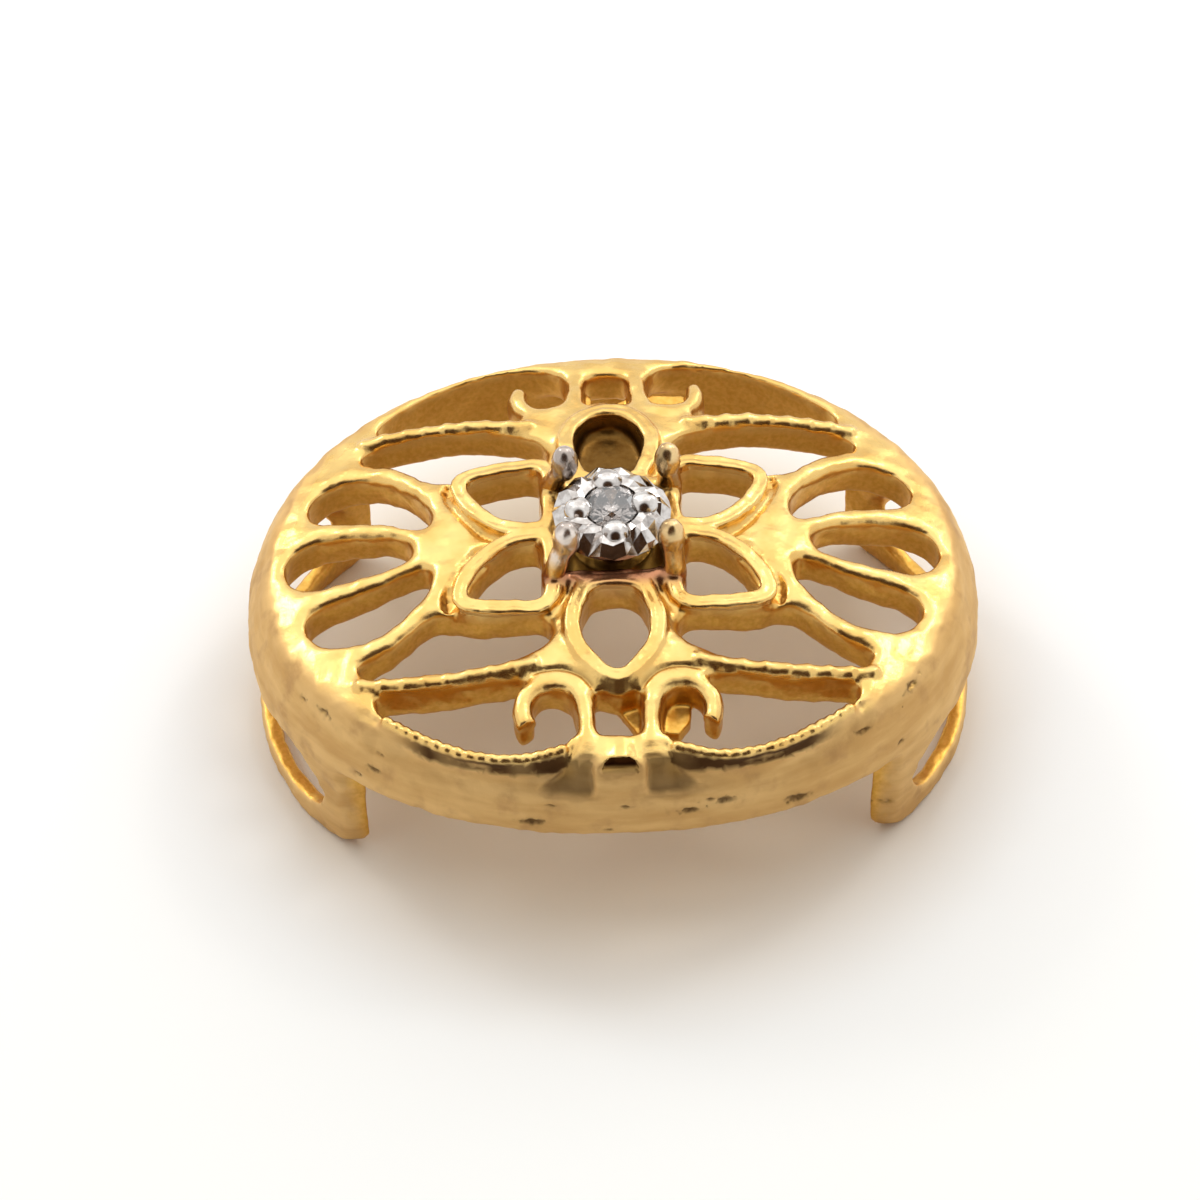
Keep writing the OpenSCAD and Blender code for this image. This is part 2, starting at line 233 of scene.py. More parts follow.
def with_modifier(mesh, kind, **settings):
    """The mesh after one modifier, with the old mesh removed."""
    thing = new_object("work", mesh)
    modifier = thing.modifiers.new(kind, kind)
    for name, value in settings.items():
        setattr(modifier, name, value)
    graph = bpy.context.evaluated_depsgraph_get()
    made = bpy.data.meshes.new_from_object(thing.evaluated_get(graph))
    bpy.data.objects.remove(thing)
    bpy.data.meshes.remove(mesh)
    return made


def remeshed(mesh, voxel):
    return with_modifier(mesh, "REMESH", mode="VOXEL", voxel_size=voxel)


def smooth_points(bm, verts, times):
    for _ in range(times):
        bmesh.ops.smooth_vert(bm, verts=verts, factor=0.5,
                              use_axis_x=True, use_axis_y=True, use_axis_z=True)


def wear(bm):
    """Wears the casting's edges round, but not at the cuts and the cap in front."""
    x, y, z = CRISP
    cuts = [v for v in bm.verts if abs(v.co.x) < x and v.co.y < -y and v.co.z > RIM_Z + z]
    kept = set(cuts)
    rest = [v for v in bm.verts if v not in kept]
    smooth_points(bm, cuts, 1)
    smooth_points(bm, rest, SOFTENING)
    smooth_points(bm, [v for v in rest if v.co.z > RIM_Z + OPENWORK_LOW], TOP_SOFTENING)


def merged_copy(node):
    """A CAD node's mesh in millimetres, with its doubles merged, as a bmesh."""
    bm = bmesh.new()
    bm.from_mesh(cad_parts[node].data)
    bmesh.ops.scale(bm, vec=(1 / MM,) * 3, verts=bm.verts)
    bmesh.ops.remove_doubles(bm, verts=bm.verts, dist=0.0005)
    return bm


def round_off_facets(bm):
    """Splits the long edges of the dome and the wall, and puts them on the true surfaces."""
    for longest in (1.6, 0.8, 0.5):
        long_edges = [e for e in bm.edges if e.calc_length() > longest]
        bmesh.ops.subdivide_edges(bm, edges=long_edges, cuts=1)
        bmesh.ops.triangulate(bm, faces=[f for f in bm.faces if len(f.verts) > 3])
    bm.normal_update()
    bm.verts.index_update()
    points = np.array([v.co for v in bm.verts])
    on_wall = np.zeros(len(points), bool)
    on_top = np.zeros(len(points), bool)
    for face in bm.faces:
        middle = face.calc_center_median()
        outward = face.normal.x * middle.x + face.normal.y * middle.y
        rows = [v.index for v in face.verts]
        if face.normal.z < 0.86 and outward > 0.3 * middle.xy.length:
            on_wall[rows] = True
        if face.normal.z > 0.9:
            on_top[rows] = True
    share = wall_share(points)
    # the CAD's facets lie a little inside the true wall, most of all at the sharper ends
    least = np.where(abs(points[:, 0]) < 3, 0.991, 0.975)
    near_wall = on_wall & (share > least) & (share < 1.004)
    points[near_wall, :2] /= share[near_wall, None]
    above = over_dome(points)
    near_top = on_top & (above > -0.09) & (above < 0.004) & ~near_wall
    points[near_top, 2] -= above[near_top]
    for vert, point in zip(bm.verts, points):
        vert.co = point


def curve_through(turns, steps, closed=True):
    """A smooth line through the turns, with so many steps between two of them."""
    n = len(turns)
    line = []
    for i in range(n if closed else n - 1):
        p, q, r, s = (np.array(turns[(i + k) % n] if closed else turns[min(max(i + k, 0), n - 1)])
                      for k in (-1, 0, 1, 2))
        for k in range(steps):
            t = k / steps
            line.append(0.5 * (2 * q + (r - p) * t + (2 * p - 5 * q + 4 * r - s) * t * t
                               + (3 * q - p - 3 * r + s) * t ** 3))
    if not closed:
        line.append(np.array(turns[-1]))
    return np.array(line)


def crest_line():
    return curve_through(CREST_LINE, 8, closed=False)


def moved_left(line, by):
    """A closed line moved sideways to its left."""
    along = np.roll(line, -1, 0) - np.roll(line, 1, 0)
    left = np.stack([-along[:, 1], along[:, 0]], 1)
    return line + by * left / np.linalg.norm(left, axis=1)[:, None]


def evenly(line, pitch):
    """Points along a line, a pitch apart."""
    steps = np.linalg.norm(np.diff(line, axis=0), axis=1)
    run = np.concatenate([[0], np.cumsum(steps)])
    count = int(round(run[-1] / pitch)) + 1
    at = np.linspace(0, run[-1], count)
    return np.stack([np.interp(at, run, line[:, k]) for k in (0, 1)], 1)


def quadrants(line):
    """The line in each quarter of the oval."""
    return [line * (mx, my) for mx in (1, -1) for my in (1, -1)]


def add_wire(bm, line, radius, rise, closed=True):
    """A round wire that rides on the dome, its top this much over it."""
    rings = []
    sides = 8
    n = len(line)
    for i, (x, y) in enumerate(line):
        if closed:
            along = line[(i + 1) % n] - line[i - 1]
        else:
            along = line[min(i + 1, n - 1)] - line[max(i - 1, 0)]
        left = np.array([-along[1], along[0]]) / np.linalg.norm(along)
        middle = RIM_Z + dome_z(x, y) + rise - radius
        rings.append([bm.verts.new((x + radius * math.cos(a) * left[0],
                                    y + radius * math.cos(a) * left[1],
                                    middle + radius * math.sin(a)))
                      for a in (2 * math.pi * k / sides for k in range(sides))])
    made = [] if closed else [bm.faces.new(rings[0]), bm.faces.new(rings[-1])]
    for i in range(0 if closed else 1, n):
        for k in range(sides):
            j = (k + 1) % sides
            made.append(bm.faces.new((rings[i - 1][k], rings[i][k], rings[i][j], rings[i - 1][j])))
    bmesh.ops.recalc_face_normals(bm, faces=made)


def add_block(bm, outline, low, high):
    """An upright block over an outline, from one height over the rim's edge to another."""
    foot = [bm.verts.new((x, y, RIM_Z + low)) for x, y in outline]
    top = [bm.verts.new((x, y, RIM_Z + high)) for x, y in outline]
    made = [bm.faces.new(foot), bm.faces.new(top)]
    for i in range(len(outline)):
        made.append(bm.faces.new((foot[i - 1], foot[i], top[i], top[i - 1])))
    bmesh.ops.recalc_face_normals(bm, faces=made)


def add_bead(bm, x, y, radius, rise):
    """A round bead on the dome, its top this much over it."""
    z = RIM_Z + dome_z(x, y) + rise - radius
    bmesh.ops.create_icosphere(bm, subdivisions=2, radius=radius,
                               matrix=Matrix.Translation((x, y, z)))


def add_relief(bm):
    """The fine cast relief: ridges, beaded bars, scrolls, the crest, the claws and the webs."""
    petals = [(SIDE_PETAL, quadrants), (END_PETAL, lambda line: [line * (1, -1)]),
              (BACK_PETAL, lambda line: [line])]
    for turns, copies in petals:
        line = curve_through(turns, 6)
        for out, rise in RIDGES:
            for copy in copies(moved_left(line, out)):
                add_wire(bm, copy, RIDGE_R, rise)
    first, last = np.array(BEAD_FROM), np.array(BEAD_TO)
    share = np.linspace(0, 1, BEADS)[:, None]
    bar = first + (last - first) * share + np.array([0, BEAD_BOW]) * np.sin(math.pi * share)
    for line in quadrants(bar):
        add_wire(bm, line, *BAR_WIRE, closed=False)
        for x, y in line:
            add_bead(bm, x, y, *BAR_BEAD)
    crest = crest_line()
    turns = np.radians(np.linspace(*SCROLL_TURN, 16))
    scroll = SCROLL_AT + SCROLL_R * np.stack([np.cos(turns), np.sin(turns)], 1)
    for side in (1, -1):
        add_wire(bm, crest * (side, -1), *CREST_WIRE, closed=False)
        add_wire(bm, scroll * (side, -1), *SCROLL_WIRE, closed=False)
        for x, y in evenly(crest, CREST_PITCH) * (side, -1):
            add_bead(bm, x, y, *CREST_BEAD)
    for mx in (1, -1):
        for my in (1, -1):
            add_claw(bm, mx, my)
    for outline, low, high in WEBS:
        add_block(bm, outline, low, high)


def add_claw(bm, mx, my):
    """A claw: a round shaft that leans in, with an egg-shaped tip."""
    foot = Vector((mx * CLAW_FOOT, my * CLAW_FOOT, RIM_Z + DOME_TOP - 0.1))
    tip = Vector((mx * CLAW_TIP + CLAW_SHIFT, my * CLAW_TIP, RIM_Z + CLAW_TOP - CLAW_EGG[2]))
    along = tip - foot
    lean = along.to_track_quat("Z", "Y").to_matrix().to_4x4()
    bmesh.ops.create_cone(bm, cap_ends=True, segments=24, radius1=CLAW_R[0], radius2=CLAW_R[1],
                          depth=along.length, matrix=Matrix.Translation((foot + tip) / 2) @ lean)
    egg = Matrix.Translation(tip) @ Matrix.Diagonal((*CLAW_EGG, 1))
    bmesh.ops.create_icosphere(bm, subdivisions=3, radius=1, matrix=egg)


def ripple(points, size, seed):
    """Smooth noise, mostly from -1 to 1, with waves of about that size, the same each run."""
    rng = np.random.default_rng(seed)
    waves = 14
    total = np.zeros(len(points))
    for _ in range(waves):
        way = rng.normal(size=3)
        way *= 2 * math.pi / (size * rng.uniform(0.7, 1.6) * np.linalg.norm(way))
        total += np.sin(points @ way + rng.uniform(0, 2 * math.pi))
    return total / waves ** 0.5 / 1.5


def smooth_step(values, low, high):
    t = ((values - low) / (high - low)).clip(0, 1)
    return t * t * (3 - 2 * t)


def past_line(points, line):
    """How far each point lies to the left of an open line, less than 0 on its right."""
    best = np.full(len(points), np.inf)
    signed = np.zeros(len(points))
    for p, q in zip(line[:-1], line[1:]):
        along = q - p
        rel = points - p
        t = (rel @ along / (along @ along)).clip(0, 1)
        away = rel - t[:, None] * along
        far = np.linalg.norm(away, axis=1)
        side = np.sign(along[0] * rel[:, 1] - along[1] * rel[:, 0])
        nearer = far < best
        best[nearer] = far[nearer]
        signed[nearer] = (far * side)[nearer]
    return signed


def past_crest(points):
    """How far each point lies outside the crest of the front crescents."""
    return past_line(np.stack([abs(points[:, 0]), -points[:, 1]], 1), crest_line())


def settled(points):
    """The worn casting back on the floor, its claws leaned, its step and grooves sunk."""
    x, y, z = np.abs(points[:, 0]), np.abs(points[:, 1]), points[:, 2] - RIM_Z
    above = over_dome(points)
    past = past_crest(points)
    points[:, 2] -= points[:, 2].min() * (-z / RIM_Z).clip(0, 1)
    over = smooth_step(z, DOME_TOP + 0.1, CLAW_TOP - 0.4)
    by_claw = (x > 0.8) & (x < 2) & (y > 0.8) & (y < 2)
    points[:, 0] += CLAW_SHIFT * over * by_claw
    at_top = smooth_step(above, -0.9, -0.1)
    ends = smooth_step(x, 0.95, 1.3) * (1 - smooth_step(x, 5.2, 6.2))
    near = 1 - smooth_step(past, 0.9, 1.3)
    points[:, 2] -= CREST_STEP * smooth_step(past, 0.14, 0.26) * at_top * ends * near
    out, deep, wide = PETAL_GROOVE
    groove = [p for p in moved_left(curve_through(SIDE_PETAL, 6), out) if p[0] > 2.3]
    flat = np.stack([x, y], 1)
    far = np.min([np.linalg.norm(flat - p, axis=1) for p in groove], axis=0)
    points[:, 2] -= deep * np.exp(-(far / wide) ** 2) * smooth_step(above, -0.5, -0.1)
    return points


def cast_surface(mesh):
    """The soft unevenness of the casting, its pits, its crevices and the cap's hollow end."""
    points = points_of(mesh)
    normals = normals_of(mesh)
    push = sum(height * ripple(points, size, seed) for height, size, seed in SKIN_WAVES)
    points += (push - PIT_SUNK * pit_depth(points))[:, None] * normals
    points[:, 1] += CAP_HOLLOW * under_cap(points)
    points[:, 2] -= CREVICE_DEEP * scroll_crevice(points)
    points[:, 2] = points[:, 2].clip(0, RIM_Z + CLAW_TOP)
    set_points(mesh, points)


def pit_depth(points):
    """How deep each point lies in the casting pits of the wall, which have ragged edges."""
    deep = np.zeros(len(points))
    share = wall_share(points)
    ragged = 1 + 0.4 * ripple(points, 0.14, 7)
    for x, z, size in PITS:
        end, side = wall_reach(z)
        y = -side * (1 - (abs(x) / end) ** FULLNESS) ** (1 / FULLNESS)
        far = np.linalg.norm((points - (x, y, RIM_Z + z)) * (0.5, 0.7, 1.7), axis=1)
        deep += size * np.exp(-(far * ragged / (0.38 * size)) ** 2) * (share > 0.9)
    return deep


def scroll_crevice(points):
    """1 in the crevice round the outside of each front scroll, on the openwork's top."""
    from_middle = np.stack([abs(points[:, 0]), -points[:, 1]], 1) - SCROLL_AT
    far = np.linalg.norm(from_middle, axis=1)
    turn = np.degrees(np.arctan2(from_middle[:, 1], from_middle[:, 0])) % 360
    start, full, fade, end = CREVICE_TURN
    along = smooth_step(turn, start, full) * (1 - smooth_step(turn, fade, end))
    across = np.exp(-((far - CREVICE_R) / CREVICE_WID) ** 2)
    return across * along * smooth_step(over_dome(points), -0.25, -0.1)


def under_cap(points):
    """1 on the end face of the front cap, which is hollow."""
    z = points[:, 2] - RIM_Z
    far = np.hypot(points[:, 0], z - CAP_TOP + CAP_R)
    at_end = smooth_step(-points[:, 1], CAP_TO - 0.42, CAP_TO - 0.34)
    return (1 - smooth_step(far, CAP_R - 0.1, CAP_R - 0.04)) * smooth_step(z, 1.88, 1.93) * at_end


def painted_shade(points, normals):
    """Painted shade that darkens the gold in its pits, hollows, cuts and crevices, and under the
    plate.
    """
    x, y = points[:, 0], points[:, 1]
    z = points[:, 2] - RIM_Z
    below = -over_dome(points)
    # painted shade on the floor of the blind petal at the back
    petal = 1 - smooth_step(np.hypot(x / 0.88, (y - 2.95) / 1.25), 0.94, 1.04)
    petal *= smooth_step(below, 0.1, 0.35)
    # painted shade in the well inside the square collar, under the plate
    well = (1 - smooth_step(np.maximum(abs(x), abs(y)), 1.3, 1.42)) * (below < 0.6)
    # painted shade on the flat cuts beside the front cap
    cut = smooth_step(1 - wall_share(points), 0.006, 0.02) * smooth_step(-normals[:, 1], 0.5, 0.7)
    cut *= (abs(x) > 0.6) & (x > -2.3) & (x < 1.8) & (y < -6.1) & (z < 2.05) & (z > 1.1)
    # a painted shadow at the foot of the step outside the front crest, uneven along it
    past = past_crest(points)
    step = smooth_step(past, 0.08, 0.13) * (1 - smooth_step(past, 0.34, 0.42))
    step *= smooth_step(below, -0.04, 0.03) * (1 - smooth_step(below, 0.26, 0.34))
    step *= (abs(x) > 1.2) * (1 - smooth_step(abs(x), 4.4, 5.4))
    step *= (0.95 + 0.4 * ripple(points, 1.2, 5)).clip(0, 1)
    # painted shade also lies in the cap's hollow end, the scroll crevices and the wall's pits
    shares = (0.85 * petal, 0.5 * well, 0.55 * cut, 0.95 * step, under_cap(points),
              0.5 * scroll_crevice(points), (pit_depth(points) / 0.08).clip(0, 0.65))
    return np.max(shares, axis=0)


def set_attribute(mesh, name, values):
    attribute = mesh.attributes.new(name, "FLOAT", "POINT")
    attribute.data.foreach_set("value", values.astype(np.float32))


def mark_metal(mesh):
    """Marks where the gold is satin, plated or coppery, and where shade is painted on it, for its
    material to read.
    """
    points = points_of(mesh)
    normals = normals_of(mesh)
    share = wall_share(points)
    outward = (normals[:, :2] * points[:, :2]).sum(1) / np.linalg.norm(points[:, :2], axis=1)
    below = -over_dome(points)
    satin = smooth_step(share, 0.95, 0.98) * smooth_step(outward, 0.25, 0.6)
    set_attribute(mesh, "wall", satin * smooth_step(below, -0.04, 0.03))
    above = points[:, 2] - RIM_Z - DOME_TOP
    left = 1 - smooth_step(points[:, 0], -0.2, 0.2)
    set_attribute(mesh, "plated", smooth_step(above, 0.3, 0.8) * (0.2 + 0.8 * left))
    near_head = np.abs(points[:, :2]).max(1)
    copper = smooth_step(-points[:, 1], 1.0, 1.25) * (1 - smooth_step(near_head, 1.6, 2.0))
    set_attribute(mesh, "copper", copper * smooth_step(above, -0.9, -0.2) * (above < 0.2))
    set_attribute(mesh, "painted_shade", painted_shade(points, normals))


def openwork_frame():
    """The cast frame: the solid worn round, then its fine relief, its skin and its marks."""
    bm = merged_copy("openwork_frame")
    round_off_facets(bm)
    mesh = remeshed(new_mesh("openwork_frame_gold", bm), SOFT_VOXEL)
    edit(mesh, wear)
    set_points(mesh, settled(points_of(mesh)))
    edit(mesh, add_relief)
    mesh = remeshed(mesh, VOXEL)
    edit(mesh, lambda bm: smooth_points(bm, bm.verts, LAST_SOFTENING))
    cast_surface(mesh)
    mesh.calc_loop_triangles()
    ratio = min(1, TRIANGLES / len(mesh.loop_triangles))
    mesh = with_modifier(mesh, "DECIMATE", decimate_type="COLLAPSE", ratio=ratio)
    points = points_of(mesh)
    points[:, 2] = points[:, 2].clip(0)
    set_points(mesh, points)
    mark_metal(mesh)
    mesh.transform(Matrix.Scale(MM, 4))
    mesh.name = "openwork_frame_gold"
    mesh.shade_smooth()
    thing = new_object("openwork_frame_gold", mesh)
    thing.data.materials.clear()
    thing.data.materials.append(cast_yellow_gold())
    return thing


def cast_yellow_gold():
    """Cast 14 carat gold: polished tops, openings with painted shade, and a satin wall with pits.
    """
    material, tree = new_material("cast_yellow_gold")
    place = add(tree, "TexCoord").outputs["Object"]
    centre = (0, 0, (RIM_Z + DOME_TOP - DOME_R) * MM)
    reach = add(tree, "VectorMath", {0: place, 1: centre}, operation="DISTANCE").outputs["Value"]
    # painted shade: the gold turns to the darker, browner inside colour the deeper it lies below
    # the dome
    recess = ranged(tree, reach, DOME_R * MM, (DOME_R - 0.45) * MM)
    wall = add(tree, "Attribute", attribute_name="wall").outputs["Fac"]
    patches = add(tree, "TexNoise", {"Vector": place, "Scale": per_mm(0.9), "Detail": 3}).outputs[0]
    grain = add(tree, "TexNoise", {"Vector": place, "Scale": per_mm(0.12), "Detail": 4}).outputs[0]
    stretched = add(tree, "Mapping", {"Vector": place, "Scale": (1, 1, 5)}).outputs[0]
    streaks = add(tree, "TexNoise", {"Vector": stretched, "Scale": per_mm(2.5),
                                     "Detail": 5}).outputs[0]
    top = mixed(tree, ranged(tree, patches, 0.35, 0.7), colour("#E9C57C"), colour("#DCB166"))
    # the inside colours are painted shade for the walls of the openings
    inside = mixed(tree, ranged(tree, grain, 0.3, 0.7), colour("#E2B159"), colour("#D2A047"))
    satin = mixed(tree, ranged(tree, streaks, 0.3, 0.7), colour("#E0BC80"), colour("#CCA468"))
    mottle = add(tree, "TexNoise", {"Vector": place, "Scale": per_mm(0.7), "Detail": 5}).outputs[0]
    satin = mixed(tree, ranged(tree, mottle, 0.5, 0.75, 0, 0.6), satin, colour("#B48C5C"))
    shade = mixed(tree, recess, top, inside)
    shade = mixed(tree, wall, shade, satin)
    plated = add(tree, "Attribute", attribute_name="plated").outputs["Fac"]
    copper = add(tree, "Attribute", attribute_name="copper").outputs["Fac"]
    shade = mixed(tree, plated, shade, colour("#EADFD6"))
    shade = mixed(tree, copper, shade, colour("#B57F5E"))
    # painted shade: dark brown in the pits, hollows, cuts and crevices, and under the plate
    painted_shade = add(tree, "Attribute", attribute_name="painted_shade").outputs["Fac"]
    shade = mixed(tree, painted_shade, shade, colour("#40230F"))
    roughness = ranged(tree, recess, 0, 1, 0.27, 0.36)
    rough_wall = add(tree, "Mix", {0: wall, 2: roughness, 3: 0.62}, data_type="FLOAT").outputs[0]
    bump = add(tree, "Bump", {"Height": grain, "Strength": 0.4, "Distance": 0.014 * MM})
    lumpy = ranged(tree, wall, 0, 1, 0.6, 0.2)
    lumps = add(tree, "Bump", {"Height": patches, "Strength": lumpy, "Distance": 0.06 * MM,
                               "Normal": bump.outputs[0]})
    bump = add(tree, "Bump", {"Height": streaks, "Strength": 0.15, "Distance": 0.003 * MM,
                              "Normal": lumps.outputs[0]})
    shader = add(tree, "BsdfPrincipled", {"Base Color": shade, "Metallic": 1.0,
                                          "Roughness": rough_wall, "Normal": bump.outputs[0]})
    finish_material(tree, shader)
    return material


# the plate with its cup, and the stone: heights over the rim's lower edge, and radii
PLATE_LOW = 3.32
PLATE_TOP = 3.78
PLATE_R = 1.40
CUP_LOW = 2.47
CUTS = 14  # bright cuts round the plate
HEAD_TILT = 4  # degrees that the plate's back stands up
HEAD_TURN = 5  # degrees that the plate is turned in its claws
# the four beads that hold the stone: half sizes, and how far out they are
GRIP_R = (0.38, 0.36, 0.32)
GRIP_AT = 0.79
STONE_R = 0.65
GIRDLE_Z = 3.73
GIRDLE_T = 0.05
CROWN_H = 0.2
TABLE = 0.56  # the table's width as a share of the stone's


def ring(bm, radius, z, count, turn=0.0, wave=0.0):
    """A ring of points, each second one lower by the wave, as uneven as cuts made by hand."""
    made = []
    for i in range(count):
        a = 2 * math.pi * i / count + turn
        low = wave * (1 + 0.5 * math.sin(5 * i)) if i % 2 else 0
        out = radius * (1 + 0.25 * wave * math.cos(4 * a) + 0.1 * wave * math.sin(7 * i))
        made.append(bm.verts.new((out * math.cos(a), out * math.sin(a), RIM_Z + z - low)))
    return made


def tilt_head(bm):
    """Leans the plate or the stone forward about the plate's middle, and turns it to metres."""
    middle = Vector((0, 0, RIM_Z + PLATE_LOW))
    bmesh.ops.rotate(bm, cent=middle, verts=bm.verts,
                     matrix=Matrix.Rotation(math.radians(HEAD_TILT), 3, "X"))
    bmesh.ops.scale(bm, vec=(MM,) * 3, verts=bm.verts)


def join_rings(bm, rings):
    for low, high in zip(rings, rings[1:]):
        n = len(low)
        for i in range(n):
            bm.faces.new((low[i], low[(i + 1) % n], high[(i + 1) % n], high[i]))


def illusion_plate():
    """A white gold plate with bright cuts all round, a seat, a cup and four beads."""
    bm = bmesh.new()
    n = 2 * CUTS
    # radius, height and wave of each ring, from the cup's foot over the rim to the seat
    profile = [
        (0.40, CUP_LOW, 0), (1.0, CUP_LOW, 0), (1.14, PLATE_LOW, 0), (1.34, PLATE_LOW + 0.01, 0),
        (PLATE_R, PLATE_LOW + 0.07, 0), (PLATE_R - 0.01, PLATE_LOW + 0.25, 0.14),
        (1.16, PLATE_TOP + 0.04, 0.17), (0.92, PLATE_TOP + 0.06, 0.06), (0.70, PLATE_TOP, 0),
        (0.685, GIRDLE_Z - 0.04, 0), (0.40, GIRDLE_Z - 0.28, 0)]
    rings = [ring(bm, r, z, n, 0, wave) for r, z, wave in profile]
    rings.append(rings[0])
    join_rings(bm, rings)
    for i in range(4):
        a = math.radians(90 * i + HEAD_TURN)
        at = (GRIP_AT * math.cos(a), GRIP_AT * math.sin(a), RIM_Z + PLATE_TOP - 0.1)
        shape = Matrix.Translation(at) @ Matrix.Diagonal((*GRIP_R, 1))
        bmesh.ops.create_uvsphere(bm, u_segments=28, v_segments=16, radius=1, matrix=shape)
    bmesh.ops.recalc_face_normals(bm, faces=bm.faces)
    # the four beads are smooth, and every cut stays flat
    for face in bm.faces:
        face.smooth = len(face.verts) == 4 and face.calc_area() < 0.012
    tilt_head(bm)
    mesh = new_mesh("illusion_plate_cut", bm)
    thing = new_object("illusion_plate_cut", mesh)
    mesh.materials.append(bright_white_gold())
    return thing


def bright_white_gold():
    """White gold cut with a polished graver: mirror facets, slightly warm."""
    material, tree = new_material("bright_cut_white_gold")
    place = add(tree, "TexCoord").outputs["Object"]
    grain = add(tree, "TexNoise", {"Vector": place, "Scale": per_mm(0.25), "Detail": 3}).outputs[0]
    shade = mixed(tree, ranged(tree, grain, 0.35, 0.65), colour("#DAD6D3"), colour("#B5AFAB"))
    bump = add(tree, "Bump", {"Height": grain, "Strength": 0.3, "Distance": 0.01 * MM})
    shader = add(tree, "BsdfPrincipled", {"Base Color": shade, "Metallic": 1.0, "Roughness": 0.17,
                                          "Normal": bump.outputs[0]})
    finish_material(tree, shader)
    return material


def brilliant():
    """A round brilliant: table, star, kite and girdle facets, and a pavilion to a culet."""
    bm = bmesh.new()
    # radius, height, number of corners and shift in corners of each ring, from the table down
    rows = [(TABLE * STONE_R, GIRDLE_T + CROWN_H, 8, 0.0),
            (0.79 * STONE_R, GIRDLE_T + 0.125, 8, 0.5), (STONE_R, GIRDLE_T, 16, 0.0),
            (STONE_R, 0, 16, 0.0), (0.3 * STONE_R, -0.335, 8, 0.5), (0.02, -0.5, 8, 0.0)]
    for radius, z, count, shift in rows:
        ring(bm, radius, GIRDLE_Z + z, count, shift * 2 * math.pi / count)
    bmesh.ops.convex_hull(bm, input=bm.verts)
    bmesh.ops.dissolve_limit(bm, angle_limit=math.radians(1), verts=bm.verts, edges=bm.edges)
    bmesh.ops.recalc_face_normals(bm, faces=bm.faces)
    tilt_head(bm)
    mesh = new_mesh("brilliant_diamond", bm)
    thing = new_object("brilliant_diamond", mesh)
    mesh.materials.append(diamond())
    return thing


def diamond():
    """Polished diamond with its high index of refraction, clear but tinted grey by painted shade.
    """
    material, tree = new_material("polished_diamond")
    place = add(tree, "TexCoord").outputs["Object"]
    # painted shade: a patchy grey tint that darkens the stone
    painted_shade_patches = add(tree, "TexNoise", {"Vector": place, "Scale": per_mm(0.4)}).outputs[0]
    shade = mixed(tree, ranged(tree, painted_shade_patches, 0.4, 0.6), colour("#CDC4BF"), colour("#AFA6A1"))
    shader = add(tree, "BsdfPrincipled", {"Base Color": shade, "Roughness": 0.0, "IOR": 2.418,
                                          "Transmission Weight": 1.0})
    finish_material(tree, shader)
    return material


def pale_floor():
    """A pale matt board with painted shade: darker towards the front, and warmer and darker round
    where the gold stands.
    """
    bm = bmesh.new()
    bmesh.ops.create_grid(bm, x_segments=1, y_segments=1, size=0.6)
    mesh = new_mesh("floor", bm)
    floor = new_object("floor", mesh)
    material, tree = new_material("matt_board")
    place = add(tree, "TexCoord").outputs["Object"]
    y = add(tree, "SeparateXYZ", {0: place}).outputs[1]
    # painted shade: the board darkens towards the front, away from the lamps at the back
    shade = mixed(tree, ranged(tree, y, -0.02, 0.012), colour("#F1F2F0"), colour("#F9FAFB"))
    near = add(tree, "VectorMath", {0: place}, operation="LENGTH").outputs["Value"]
    # painted shadow round where the gold stands, warm like light bounced off the gold
    shade = mixed(tree, ranged(tree, near, 0.0118, 0.006), shade, colour("#DCCFBA"))
    shader = add(tree, "BsdfPrincipled", {"Base Color": shade, "Roughness": 0.7})
    finish_material(tree, shader)
    mesh.materials.append(material)


# the softboxes: place, size, power in watts and colour
SOFTBOXES = {
    "ceiling": ((0, 0.09, 0.18), (0.30, 0.22), 0.12, "#FFFDFA"),
    "window_left": ((-0.12, 0.12, 0.12), (0.035, 0.05), 0.05, "#FFFFFF"),
    "window_right": ((0.10, 0.10, 0.16), (0.03, 0.03), 0.03, "#FFFFFF"),
    "low_right": ((0.11, 0.11, 0.06), (0.06, 0.05), 0.016, "#FFFFFF")}
# the dark side of the room, which the polished gold mirrors: the way to its middle, and how
# near to that way it starts and is full
DARK_SIDE = (((0, -0.77, 0.64), 0.78, 0.9), ((0, -0.94, 0.34), 0.76, 0.9))
ROOM = 1.08  # brightness of the pale room


def softbox(name, place, size, power, tint):
    data = bpy.data.lights.new(name, "AREA")
    data.shape = "RECTANGLE"
    data.size, data.size_y = size
    data.energy = power
    data.color = colour(tint)[:3]
    light = new_object(name, data)
    light.location = place
    light.rotation_euler = (-Vector(place)).to_track_quat("-Z", "Y").to_euler()


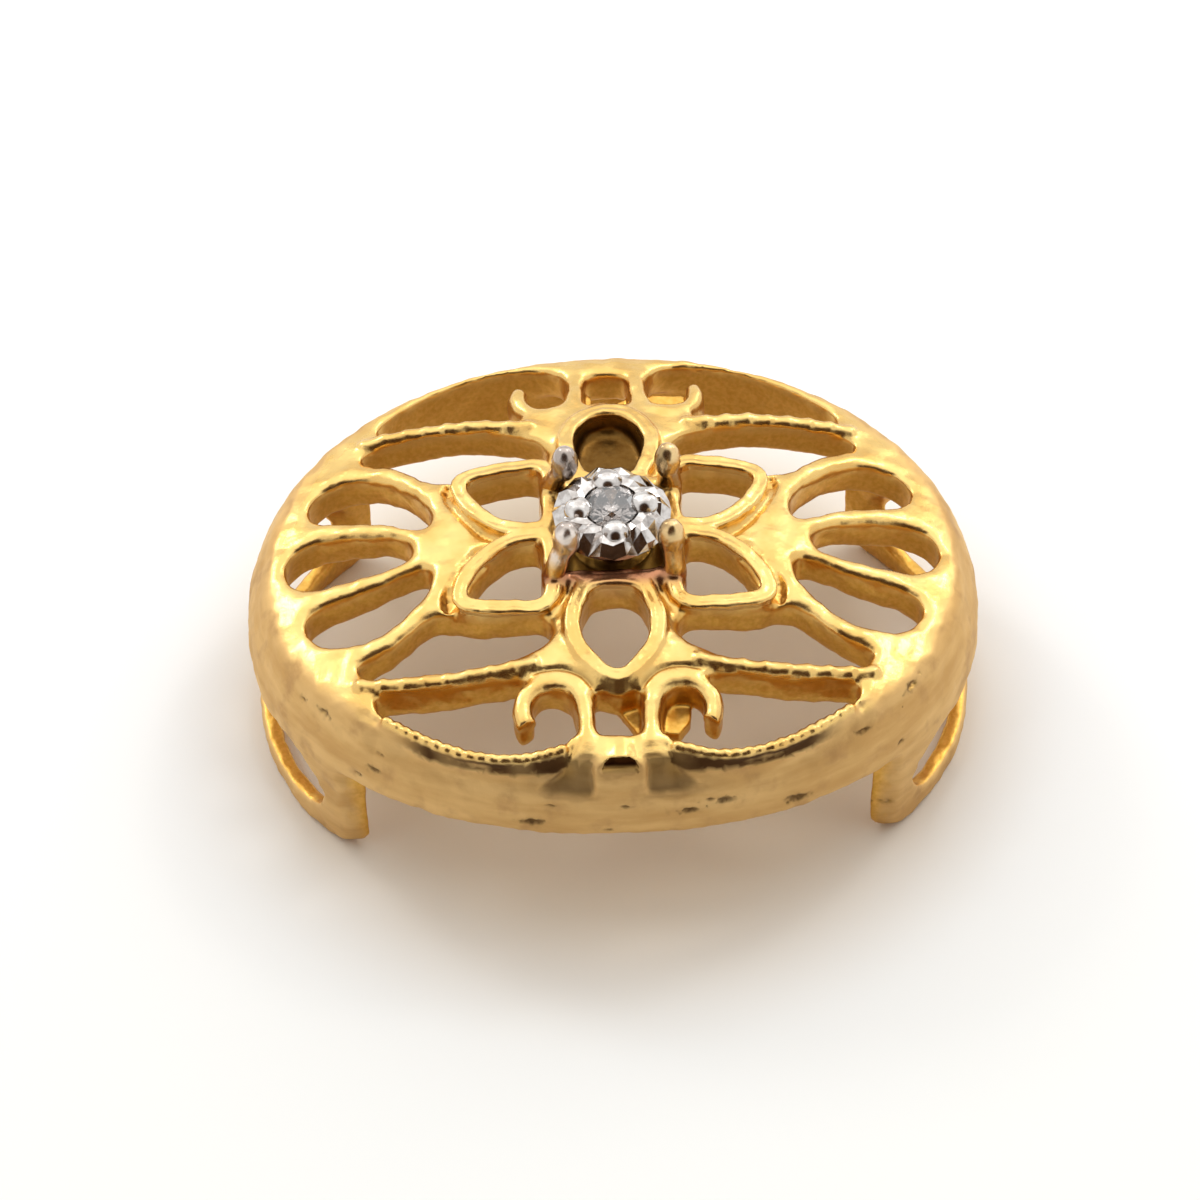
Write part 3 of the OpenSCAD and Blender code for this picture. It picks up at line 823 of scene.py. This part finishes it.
def lights():
    for name, settings in SOFTBOXES.items():
        softbox(name, *settings)
    world = bpy.data.worlds.new("studio")
    bpy.context.scene.world = world
    world.use_nodes = True
    tree = world.node_tree
    tree.nodes.clear()
    way = add(tree, "TexCoord").outputs["Generated"]
    shade = colour("#FFFEFC")
    for middle, start, full in DARK_SIDE:
        near = add(tree, "VectorMath", {0: way, 1: middle}, operation="DOT_PRODUCT")
        dark = ranged(tree, near.outputs["Value"], start, full)
        shade = mixed(tree, dark, shade, colour("#432B19"))
    back = add(tree, "Background", {"Color": shade, "Strength": ROOM})
    add(tree, "OutputWorld", {"Surface": back.outputs[0]})


# the camera: its height angle, its turn, its roll, how far it is from the rim's middle, and
# the pixels of the 1200 pixel frame at which the rim's middle lies
ELEVATION = 48
TURN = -1
ROLL = 0.9
DISTANCE = 105
PIXELS_PER_MM = 40.5
MIDDLE = (613, 609.5)
IMAGE = 1200


def camera():
    data = bpy.data.cameras.new("camera")
    data.sensor_width = 36
    data.lens = PIXELS_PER_MM * DISTANCE / IMAGE * data.sensor_width
    data.shift_x = (IMAGE / 2 - MIDDLE[0]) / IMAGE
    data.shift_y = (MIDDLE[1] - IMAGE / 2) / IMAGE
    data.clip_start = 0.005
    data.clip_end = 5
    up = math.radians(ELEVATION)
    turn = Matrix.Rotation(math.radians(TURN), 3, "Z")
    back = turn @ Vector((0, -math.cos(up), math.sin(up)))
    right = turn @ Vector((1, 0, 0))
    above = back.cross(right)
    roll = math.radians(ROLL)
    side = math.cos(roll) * right - math.sin(roll) * above
    top = math.sin(roll) * right + math.cos(roll) * above
    place = Vector((0, 0, RIM_Z)) + DISTANCE * back
    view = Matrix((side, top, back)).transposed().to_4x4()
    view.translation = place * MM
    eye = new_object("camera", data)
    eye.matrix_world = view
    bpy.context.scene.camera = eye


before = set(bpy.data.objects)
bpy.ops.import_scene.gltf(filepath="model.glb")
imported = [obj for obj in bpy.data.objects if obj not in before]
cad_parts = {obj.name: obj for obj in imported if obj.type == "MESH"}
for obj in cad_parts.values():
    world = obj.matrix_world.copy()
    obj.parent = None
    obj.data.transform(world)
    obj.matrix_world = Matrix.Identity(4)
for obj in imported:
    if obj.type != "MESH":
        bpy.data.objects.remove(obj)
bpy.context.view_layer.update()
camera()
gold = openwork_frame()
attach(gold, "root")
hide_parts("openwork_frame")
plate = illusion_plate()
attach(plate, "root")
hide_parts("illusion_plate")
stone = brilliant()
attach(stone, "root")
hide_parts("diamond")
pale_floor()
lights()
bpy.context.scene.view_settings.view_transform = "Standard"
